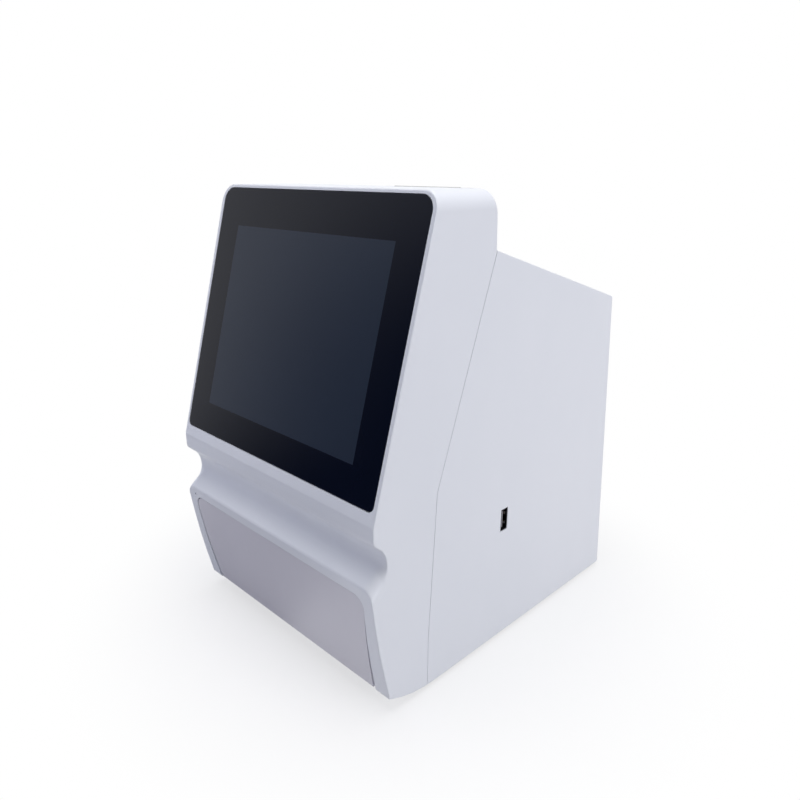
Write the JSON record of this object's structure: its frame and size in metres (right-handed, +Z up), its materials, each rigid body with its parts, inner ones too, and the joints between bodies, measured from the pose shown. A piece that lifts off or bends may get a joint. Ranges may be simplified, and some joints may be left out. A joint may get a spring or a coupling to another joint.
{
  "type": "blood analyzer",
  "caption": "Compact blood chemistry analyzer: leaning touch screen, finger groove, motor-driven disc drawer behind a full-width lower front, receipt printer in its head, vented rear panel.",
  "frame": {"origin": "middle of the footprint, at the level the feet stand on", "axes": "+X to the right as seen from the front, +Y to the back, +Z up"},
  "size_m": [0.205, 0.2622, 0.3104],
  "materials": {
    "white_abs": "satin moulding",
    "panel_abs": "satin moulding",
    "black_glass": "gloss, printed black behind its border",
    "display": "dark, unlit",
    "zinc_steel": "plated sheet",
    "bright_steel": "bright plated",
    "cast_aluminium": "machined",
    "black_plastic": "black moulding",
    "dark_tray": "dark grey moulding",
    "rubber": "matt black",
    "circuit_board": "green laminate",
    "paper": "thermal paper",
    "acetal": "natural acetal"
  },
  "bodies": {
    "housing": {"base_plate": "zinc_steel", "base_screw_1": "bright_steel", "base_screw_2": "bright_steel", "base_screw_3": "bright_steel", "base_screw_4": "bright_steel", "board_frame": "zinc_steel", "code_reader": "black_plastic", "cover_glass": "black_glass", "detector_board": "circuit_board", "display_bracket": "zinc_steel", "display_module": "display", "drawer_chassis": "zinc_steel", "drawer_motor": "zinc_steel", "drawer_rail_left": "bright_steel", "drawer_rail_right": "bright_steel", "fan_frame": "black_plastic", "feed_motor": "zinc_steel", "flash_lamp": "bright_steel", "foot_front_left": "rubber", "foot_front_right": "rubber", "foot_rear_left": "rubber", "foot_rear_right": "rubber", "front_cover": "white_abs", "heater_plate": "cast_aluminium", "lens_barrel": "black_plastic", "lid_hinge_pin": "bright_steel", "main_board": "circuit_board", "network_socket": "bright_steel", "optical_block": "cast_aluminium", "optics_bridge": "zinc_steel", "panel_screw_1": "bright_steel", "panel_screw_2": "bright_steel", "panel_screw_3": "bright_steel", "panel_screw_4": "bright_steel", "power_board": "circuit_board", "power_inlet": "black_plastic", "print_head": "cast_aluminium", "printer_bucket": "black_plastic", "rear_housing": "white_abs", "rear_panel": "zinc_steel", "screen_board": "circuit_board", "side_usb_shell": "bright_steel", "side_usb_tongue": "black_plastic", "speaker": "black_plastic", "switch_frame": "black_plastic", "tear_bar": "bright_steel", "usb_board": "circuit_board"},
    "drawer": {"drawer_front": "panel_abs", "drawer_tray": "dark_tray", "drawer_rack": "acetal", "disc_motor": "zinc_steel"},
    "disc": {"disc_hub": "cast_aluminium"},
    "pinion": {"drive_pinion": "acetal"},
    "lid": {"printer_lid": "white_abs"},
    "platen": {"platen_roller": "rubber"},
    "feed": {"feed_gear": "acetal"},
    "roll": {"paper_roll": "paper"},
    "fan": {"fan_rotor": "black_plastic"},
    "rocker": {"switch_rocker": "black_plastic"},
    "release": {"release_button": "acetal"}
  },
  "joints": [
    {"name": "drawer_slide", "type": "slide", "parent": "housing", "child": "drawer", "axis": [0, -1, 0], "range_m": [0, 0.118]},
    {"name": "disc_spin", "type": "hinge", "parent": "drawer", "child": "disc", "pos_m": [0, -0.062, 0.045], "axis": [0, 0, 1], "continuous": true},
    {"name": "pinion_spin", "type": "hinge", "parent": "housing", "child": "pinion", "pos_m": [-0.05515, -0.07, 0.034], "axis": [0, 0, 1], "range_deg": [-850, 5]},
    {"name": "lid_hinge", "type": "hinge", "parent": "housing", "child": "lid", "pos_m": [0.054, -0.0695, 0.3045], "axis": [1, 0, 0], "range_deg": [0, 80]},
    {"name": "platen_spin", "type": "hinge", "parent": "lid", "child": "platen", "pos_m": [0.054, -0.0455, 0.303], "axis": [1, 0, 0], "continuous": true},
    {"name": "feed_gear_spin", "type": "hinge", "parent": "housing", "child": "feed", "pos_m": [0.02, -0.0455, 0.293], "axis": [1, 0, 0], "continuous": true},
    {"name": "paper_roll_spin", "type": "hinge", "parent": "housing", "child": "roll", "pos_m": [0.054, -0.0553, 0.2809], "axis": [1, 0, 0], "continuous": true},
    {"name": "fan_spin", "type": "hinge", "parent": "housing", "child": "fan", "pos_m": [0, 0.10948, 0.15122], "axis": [0, 0.9965, 0.0837], "continuous": true},
    {"name": "rocker_tip", "type": "hinge", "parent": "housing", "child": "rocker", "pos_m": [0.052, 0.12615, 0.04825], "axis": [0, -0.0837, 0.9965], "range_deg": [0, 16]},
    {"name": "release_push", "type": "slide", "parent": "housing", "child": "release", "axis": [0, 1, 0], "range_m": [0, 0.003], "stiffness_N_per_m": 200, "springref_m": -0.001}
  ],
  "couplings": [
    {"joint": "pinion_spin", "follows": "drawer_slide", "rad_per_m": -125},
    {"joint": "feed_gear_spin", "follows": "platen_spin", "ratio": -0.66667},
    {"joint": "paper_roll_spin", "follows": "platen_spin", "ratio": 0.27692}
  ]
}
